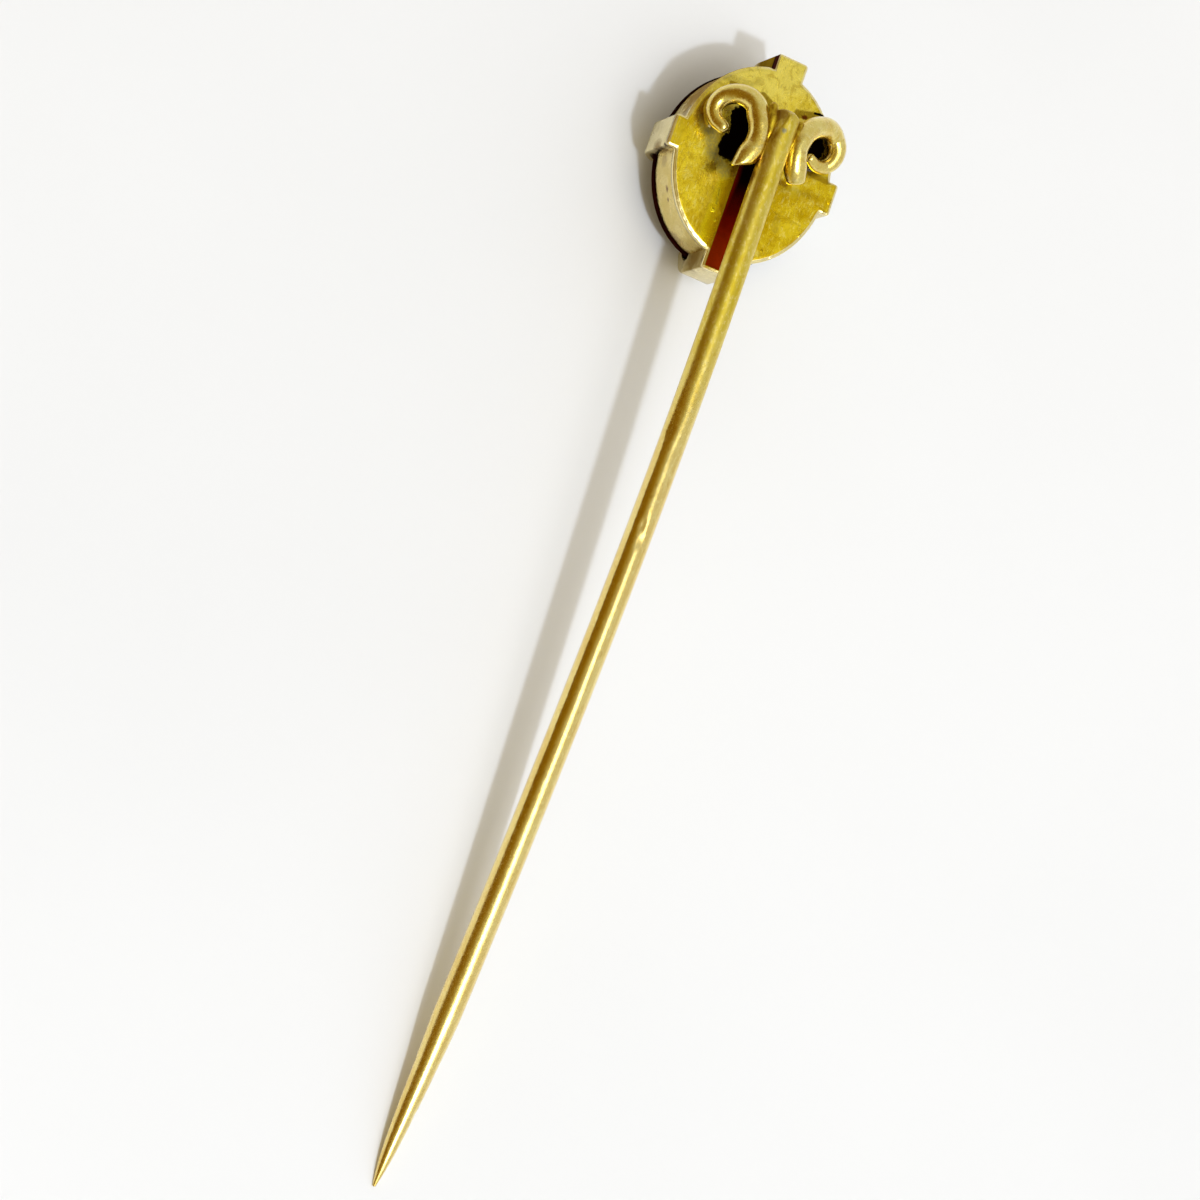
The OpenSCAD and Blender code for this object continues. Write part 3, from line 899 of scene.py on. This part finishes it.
# The chamfer is narrower on the tabs, whose points stand outside the oval
beyond_oval = np.hypot(plate_rim[:, 0] / plate_half_long, plate_rim[:, 1] / plate_half_wide) > 1.0001
tab_points = plate_rim[beyond_oval]
from_tab = np.array([np.min(np.hypot(*(tab_points - point).T)) for point in plate_rim])
chamfer_here = np.minimum(plate_chamfer, plate_chamfer_tab + plate_chamfer_widening * from_tab)


def plate_ring(inset, z, share=1.0):
    flat = (plate_rim - corner_normals * np.reshape(inset, (-1, 1))) * share
    return np.column_stack([flat, np.broadcast_to(z, len(flat))])


def plate_face(share):
    """One ring of the plate's face, a little uneven from the hammer and the file."""
    ring = plate_ring(chamfer_here, 0, share)
    x, y = ring[:, 0], ring[:, 1]
    waves = np.sin(1.3 * x + 0.9 * y) + np.sin(1.9 * y - 0.8 * x + 1.0)
    ring[:, 2] = -plate_sink + 0.003 * waves * (1 - share ** 4)
    return ring


def plate_edge(share):
    """One ring of the filed slope, from the face at share 0 to the start of the rounding at share 1."""
    room = (chamfer_here - plate_edge_round) / (plate_chamfer - plate_edge_round)
    inset = plate_edge_round + (chamfer_here - plate_edge_round) * (1 - share)
    drop = plate_chamfer_drop * room * share ** 1.5 * (1 + 0.25 * file_marks)
    return plate_ring(inset + 0.01 * file_marks * share, -plate_sink - drop)


def plate_round(turn):
    """One ring of the rounded corner, from the slope at turn 0 to the side at a quarter turn."""
    inset = plate_edge_round * (1 - math.sin(turn))
    return plate_ring(inset, plate_edge(1.0)[:, 2] - plate_edge_round * (1 - math.cos(turn)))


plate_rings = [plate_face((i / 30) ** 0.8) for i in range(1, 31)]
plate_rings += [plate_edge(i / 5) for i in range(1, 6)]
plate_rings += [plate_round(math.pi / 2 * i / 4) for i in range(1, 5)]
plate_rings.append(plate_ring(0.0, -plate_thick + 0.05))
plate_rings.append(plate_ring(0.05, -plate_thick))
plate_rings.append(plate_ring(0.4, -plate_thick))
plate_poles = ((0, 0, -plate_sink), (0, 0, -plate_thick))
make_piece("back_plate", *skin(plate_rings, *plate_poles), plate_gold(), sharp=50)

# The two scrolls
# Round gold wire bent into open curls on both sides of the stem, and soldered there. The lower ends are
# hammered to blunt tongues, the upper ends taper, and each scroll leans down to the plate as it curls out.
scroll_rise_in = 2.1
scroll_rise_out = 0.72
# The lean starts and ends at these distances out from the stem, and the curl's tip sags a little more
lean_start = 1.2
lean_end = 3.4
curl_sag = 0.22
scroll_wire = 0.56
# Each row of a tail is the place along the stem, the distance out from it, the wire's radius there, and how
# many times wider than thick it is hammered
left_tail = [
    (-0.62, 1.22, 0.49, 1.35),
    (-0.20, 1.12, 0.54, 1.25),
    (0.35, 1, 0.56, 1.05),
    (1.1, 1.04, 0.56, 1),
]
right_tail = [
    (-0.36, 1.72, 0.46, 1.1),
    (0.11, 1.46, 0.54, 1.1),
    (0.7, 1.22, 0.55, 1),
    (1.3, 1.16, 0.56, 1),
    (1.95, 1.36, 0.56, 1),
    (2.46, 1.76, 0.56, 1),
]
# Each curl is its centre along and out, its first and last radius, its first and last angle, and its tip's
# radius
left_curl = (1.7, 2.28, 0.92, 0.92, -80, 160, 0.34)
right_curl = (2, 2.8, 0.95, 0.96, -33, 208, 0.26)
# The left tongue is cut on the slant, which fades out this many rows up the tail
left_slant = 0.75
slant_rows = 1.6
# Each end of a scroll is how far its cap stands out, in radii, and how square the cap is
tongue_cap = (0.45, 0.4)
curl_cap = (0.95, 0.7)
scroll_tones = ((0.74, 0.53, 0.06), (0.84, 0.69, 0.17))
scroll_pale = (0.95, 0.84, 0.40)
scroll_dirt = (0.48, 0.27, 0.004)
scroll_shade_tone = (0.40, 0.24, 0.03)
scroll_under_shade = (0.10, 0.02, 0.003)
# Each patch of painted shade on the wire's inner side, in the groove by the stem, is its place and its
# reach
scroll_groove_shade = [
    ((1.6, 0.5, 2.5), 0.5),
    ((0.3, 0.6, 2.4), 0.5),
    ((2.4, 0.8, 2.4), 0.4),
    ((2.0, -0.75, 2.4), 0.35),
]


def scroll_gold():
    finish = Finish("scroll_gold")
    cloud = finish.noise(1.4, 5, 0.6, warp=0.3)
    grain = finish.noise(8.0, 4, 0.6)
    colour = finish.mix(finish.fade(cloud, 0.3, 0.7), *scroll_tones)
    colour = finish.over(colour, scroll_pale, finish.fade(finish.noise(4.5, 5, 0.7), 0.5, 0.7), 0.55)
    colour = finish.over(colour, scroll_dirt, finish.fade(finish.noise(3.0, 5, 0.7), 0.54, 0.72), 0.55)
    # Painted shade in the grooves between the scrolls and the stem
    for place, reach in scroll_groove_shade:
        colour = finish.over(colour, scroll_shade_tone, finish.spot(place, 0.05, reach, grain), 0.8)
    # The wire's under side is painted dark: painted shade under the wire
    under = facing(finish, "Z", -0.15, -0.6)
    colour = finish.over(colour, scroll_under_shade, under, 0.9)
    finish.give("Coat Weight", 1.0)
    finish.give("Coat Roughness", 0.24)
    finish.give("Coat IOR", 1.6)
    roughness = finish.work("ADD", finish.fade(grain, 0.3, 0.75, 0.18, 0.30), finish.times(under, 0.2))
    normal = finish.bump(grain, 0.008, finish.bump(cloud, 0.03))
    return finish.metal(colour, roughness, normal)


def curl_rows(curl, steps=9):
    along, out, first_reach, last_reach, first_turn, last_turn, tip_wire = curl
    rows = []
    for i in range(steps + 1):
        share = i / steps
        turn = math.radians(first_turn + (last_turn - first_turn) * share)
        reach = first_reach + (last_reach - first_reach) * share
        wire = scroll_wire + (tip_wire - scroll_wire) * share ** 1.7
        rows.append((along + reach * math.cos(turn), out + reach * math.sin(turn), wire, 1))
    return rows


def on_curve(rows, far):
    """A smooth curve through the rows, read at a number of rows from the first."""
    i = min(len(rows) - 2, int(far))
    t = far - i
    a, b, c, d = (np.array(rows[min(len(rows) - 1, max(0, i + k))]) for k in (-1, 0, 1, 2))
    bend = (2 * a - 5 * b + 4 * c - d) * t ** 2 + (3 * b - a - 3 * c + d) * t ** 3
    return (2 * b + (c - a) * t + bend) / 2


def scroll_skin(tail, curl, side, slant=0.0, sides=40, spans=170, cap_steps=8):
    rows = tail + curl_rows(curl)
    last = len(rows) - 1
    sag_start = len(tail) + 2

    def centre_at(far):
        along, out = on_curve(rows, far)[:2]
        lean = min(1, max(0, (out - lean_start) / (lean_end - lean_start)))
        sag = curl_sag * max(0, far - sag_start) / (last - sag_start)
        rise = scroll_rise_in + (scroll_rise_out - scroll_rise_in) * lean
        return np.array((along, side * out, rise - sag))

    def heading_at(far):
        return centre_at(min(last, far + 0.01)) - centre_at(max(0, far - 0.01))

    caps = []
    poles = []
    for end, way, (bluntness, squareness) in ((0, -1, tongue_cap), (last, 1, curl_cap)):
        centre = centre_at(end)
        heading = heading_at(end)
        radius, spread = on_curve(rows, end)[2:]
        outward = way * heading / np.linalg.norm(heading)
        cap = []
        for i in range(1, cap_steps):
            turn = math.pi / 2 * i / cap_steps
            width = radius * math.cos(turn) ** squareness
            middle = centre + outward * radius * bluntness * math.sin(turn)
            cap.append(wire_ring(middle, heading, width * spread, width, sides))
        caps.append(cap)
        poles.append(centre + outward * radius * bluntness)
    body = []
    for i in range(spans + 1):
        far = last * i / spans
        radius, spread = on_curve(rows, far)[2:]
        body.append(wire_ring(centre_at(far), heading_at(far), radius * spread, radius, sides))
    rings = caps[0][::-1] + body + caps[1]
    # A slant makes the tongue's outer side longer than its inner side
    tongue_out = centre_at(0)[1]
    for i, ring in enumerate(rings):
        near_tongue = max(0, 1 - max(0, i - len(caps[0])) / spans * last / slant_rows)
        ring[:, 0] -= slant * near_tongue * side * (ring[:, 1] - tongue_out)
    poles[0][0] -= slant * side * (poles[0][1] - tongue_out)
    return skin(rings, *poles)


scroll_metal = scroll_gold()
make_piece("scroll_left", *scroll_skin(left_tail, left_curl, 1, left_slant), scroll_metal)
make_piece("scroll_right", *scroll_skin(right_tail, right_curl, -1), scroll_metal)

# The post
# A short round peg of the scrolls' gold, between the plate and the head end of the stem. It hides under the
# stem, and widens at both ends to a skirt of solder.
post_x = 1.2
post_radius = 0.55
post_foot = -0.1
post_foot_skirt = 0.18
post_head_skirt = 0.10
post_steps = 12
post_rings = []
for i in range(post_steps + 1):
    share = i / post_steps
    radius = post_radius + post_foot_skirt * (1 - share) ** 6 + post_head_skirt * share ** 8
    ring = oval_ring(radius, radius, post_foot + (stem_rise - post_foot) * share, 48)
    post_rings.append(ring + (post_x, 0, 0))
make_piece("post", *skin(post_rings, (post_x, 0, post_foot), (post_x, 0, stem_rise)), scroll_metal)

# The solder
# Uneven beads of gold solder, melted into the grooves between the stem and the scrolls, and one along the
# outer foot of the left scroll. They are browner and duller than the wire.
solder_tones = ((0.30, 0.15, 0.004), (0.62, 0.45, 0.03))
solder_painted_red = (0.10, 0.006, 0.002)
solder_painted_pale = (0.90, 0.82, 0.55)
# Each row of a bead is a place in the head's frame and the bead's radius there
solder_beads = {
    "solder_left": [((0.5, 0.66, 2.36), 0.12), ((0.9, 0.66, 2.42), 0.2), ((1.3, 0.68, 2.44), 0.24),
                    ((1.9, 0.72, 2.4), 0.26), ((2.5, 0.80, 2.25), 0.22), ((2.7, 0.9, 2.1), 0.12)],
    "solder_right": [((0.6, -0.72, 2.3), 0.10), ((1.1, -0.72, 2.38), 0.18), ((1.7, -0.76, 2.36), 0.2),
                     ((2.2, -0.84, 2.3), 0.14), ((2.5, -0.95, 2.2), 0.08)],
    "solder_foot": [((2.35, 3.25, 0.1), 0.10), ((1.9, 3.40, 0.12), 0.14), ((1.4, 3.35, 0.12), 0.15),
                    ((1.0, 3.12, 0.1), 0.13), ((0.8, 2.85, 0.08), 0.09)],
}


def bead_skin(rows, sides=20, spans=40):
    flat = [(*place, radius) for place, radius in rows]
    last = len(flat) - 1
    rings = []
    for i in range(1, spans):
        far = last * i / spans
        here = on_curve(flat, far)
        heading = (on_curve(flat, min(last, far + 0.02)) - on_curve(flat, max(0, far - 0.02)))[:3]
        end_round = min(1, 2.2 * math.sqrt(min(i, spans - i) / spans))
        width = here[3] * end_round * (1 + 0.05 * math.sin(far * 5))
        rings.append(wire_ring(here[:3], heading, width, width, sides))
    return skin(rings, on_curve(flat, 0)[:3], on_curve(flat, last)[:3])


def solder_gold():
    finish = Finish("solder_gold")
    cloud = finish.noise(2.4, 5, 0.65, warp=0.4)
    colour = finish.mix(finish.fade(cloud, 0.35, 0.65), *solder_tones)
    # The bead at the left scroll's foot has a painted dark-red reflection of the wire along it, and a
    # painted pale reflection at its lower end
    painted_red_line = stroke(finish, (1.75, 3.28, 0.24), (0.98, 2.98, 0.20), 0.05, 0.14, cloud)
    colour = finish.over(colour, solder_painted_red, painted_red_line)
    colour = finish.over(colour, solder_painted_pale, finish.spot((0.8, 2.86, 0.1), 0.08, 0.22))
    return finish.metal(colour, finish.fade(cloud, 0.3, 0.75, 0.30, 0.48), finish.bump(cloud, 0.03))


solder_metal = solder_gold()
for bead_name, bead_rows in solder_beads.items():
    make_piece(bead_name, *bead_skin(bead_rows), solder_metal)

# The table top
# A plain sheet of matt white board under the pin, far wider than the view. It lies flat, a little cloudy in
# tone, and the pin rests on it.
table_half = 0.6
board_tones = ((0.86, 0.86, 0.85), (0.89, 0.89, 0.88))
table_mesh = bpy.data.meshes.new("table_top")
table_corners = ((-1, -1), (1, -1), (1, 1), (-1, 1))
table_mesh.from_pydata([(x * table_half, y * table_half, 0) for x, y in table_corners], [], [(0, 1, 2, 3)])
table_top = bpy.data.objects.new("table_top", table_mesh)
bpy.context.scene.collection.objects.link(table_top)
board = Finish("white_board")
board.give("Base Color", board.mix(board.fade(board.noise(0.02, 3, 0.5), 0.3, 0.7), *board_tones))
board.give("Roughness", 0.7)
board.give("Specular IOR Level", 0.2)
table_mesh.materials.append(board.material)

# Light and camera
# A soft lamp shines from the stem's side of the head, in a pale room that is brown on the left. The camera
# looks at the back of the pin from above, as in the photo.
lamp_way = Vector((-0.364, -0.136, 0.921)).normalized()
lamp_far = 0.5
lamp_data = bpy.data.lights.new("lamp", "AREA")
lamp_data.shape = "DISK"
lamp_data.size = 0.030
lamp_data.energy = 0.89
lamp_data.color = (0.75, 0.84, 1.0)
lamp = bpy.data.objects.new("lamp", lamp_data)
lamp.location = lamp_way * lamp_far
lamp.rotation_euler = lamp_way.to_track_quat("Z", "Y").to_euler()
bpy.context.scene.collection.objects.link(lamp)

# Each tone of the walls is how far to the side it is, from -1 on the right to 1 on the left, and its colour
wall_colours = [
    (-1.0, (0.75, 0.75, 0.76)),
    (-0.4, (0.69, 0.69, 0.72)),
    (0.0, (0.60, 0.60, 0.58)),
    (0.35, (0.44, 0.37, 0.15)),
    (0.68, (0.28, 0.16, 0.004)),
    (1.0, (0.21, 0.11, 0.002)),
]
far_wall = (0.72, 0.72, 0.72)
reflector_glow = 2.9
halo_glow = 5.0
halo_inner = math.radians(6)
halo_outer = math.radians(13)
room = bpy.data.worlds.new("room")
bpy.context.scene.world = room
room.use_nodes = True
air = Palette(room.node_tree)
way = air.add("TexCoord", {}).outputs["Generated"]
way_x = air.part_of(way, "X")
way_y = air.part_of(way, "Y")
walls = air.add("ValToRGB", {"Fac": air.times(air.work("ADD", way_y, 1.0), 0.5)})
ramp = walls.color_ramp
while len(ramp.elements) < len(wall_colours):
    ramp.elements.new(0.5)
for element, (sideways, colour) in zip(ramp.elements, wall_colours):
    element.position = (sideways + 1) / 2
    element.color = (*colour, 1.0)
# The end of the room beyond the head is pale right across
room_colour = air.mix(air.fade(way_x, 0.35, 0.8), walls.outputs["Color"], far_wall)
# A long pale reflector runs from over the pin out past the lamp, and bends a little to the right on its way
beside = air.work("ADD", way_y, 0.15)
beside = air.work("ABSOLUTE", air.work("ADD", beside, air.fade(way_x, 0.0, -0.1, 0.0, 0.12)))
glow = air.fade(beside, 0.29, 0.10, 0.0, reflector_glow)
glow = air.times(glow, air.fade(way_x, 0.06, -0.05))
glow = air.times(glow, air.fade(way_x, -0.60, -0.45))
# The lamp shines through a cloth, which glows round it
near_lamp = air.add("VectorMath", {0: way, 1: lamp_way}, operation="DOT_PRODUCT").outputs["Value"]
halo = air.fade(near_lamp, math.cos(halo_outer), math.cos(halo_inner), 0.0, halo_glow)
glow = air.work("MAXIMUM", glow, halo)
backdrop = air.nodes["Background"]
air.put(air.mix(1.0, room_colour, glow, "ADD"), backdrop.inputs["Color"])
air.put(1.0, backdrop.inputs["Strength"])

# The camera's place in metres, and which ways are right and up in the photo
camera_place = Vector((-0.040784, 0.060788, 0.172835))
camera_right = Vector((0.2934, -0.8756, 0.3836)).normalized()
camera_up = Vector((0.9296, 0.3550, 0.0992)).normalized()
camera_data = bpy.data.cameras.new("camera")
camera_data.sensor_width = 36
camera_data.lens = 112.65
camera_data.clip_start = 0.005
camera_data.clip_end = 5
camera = bpy.data.objects.new("camera", camera_data)
turned = Matrix((camera_right, camera_up, camera_right.cross(camera_up))).transposed().to_4x4()
camera.matrix_world = Matrix.Translation(camera_place) @ turned
bpy.context.scene.collection.objects.link(camera)
bpy.context.scene.camera = camera
bpy.context.scene.view_settings.view_transform = "Standard"
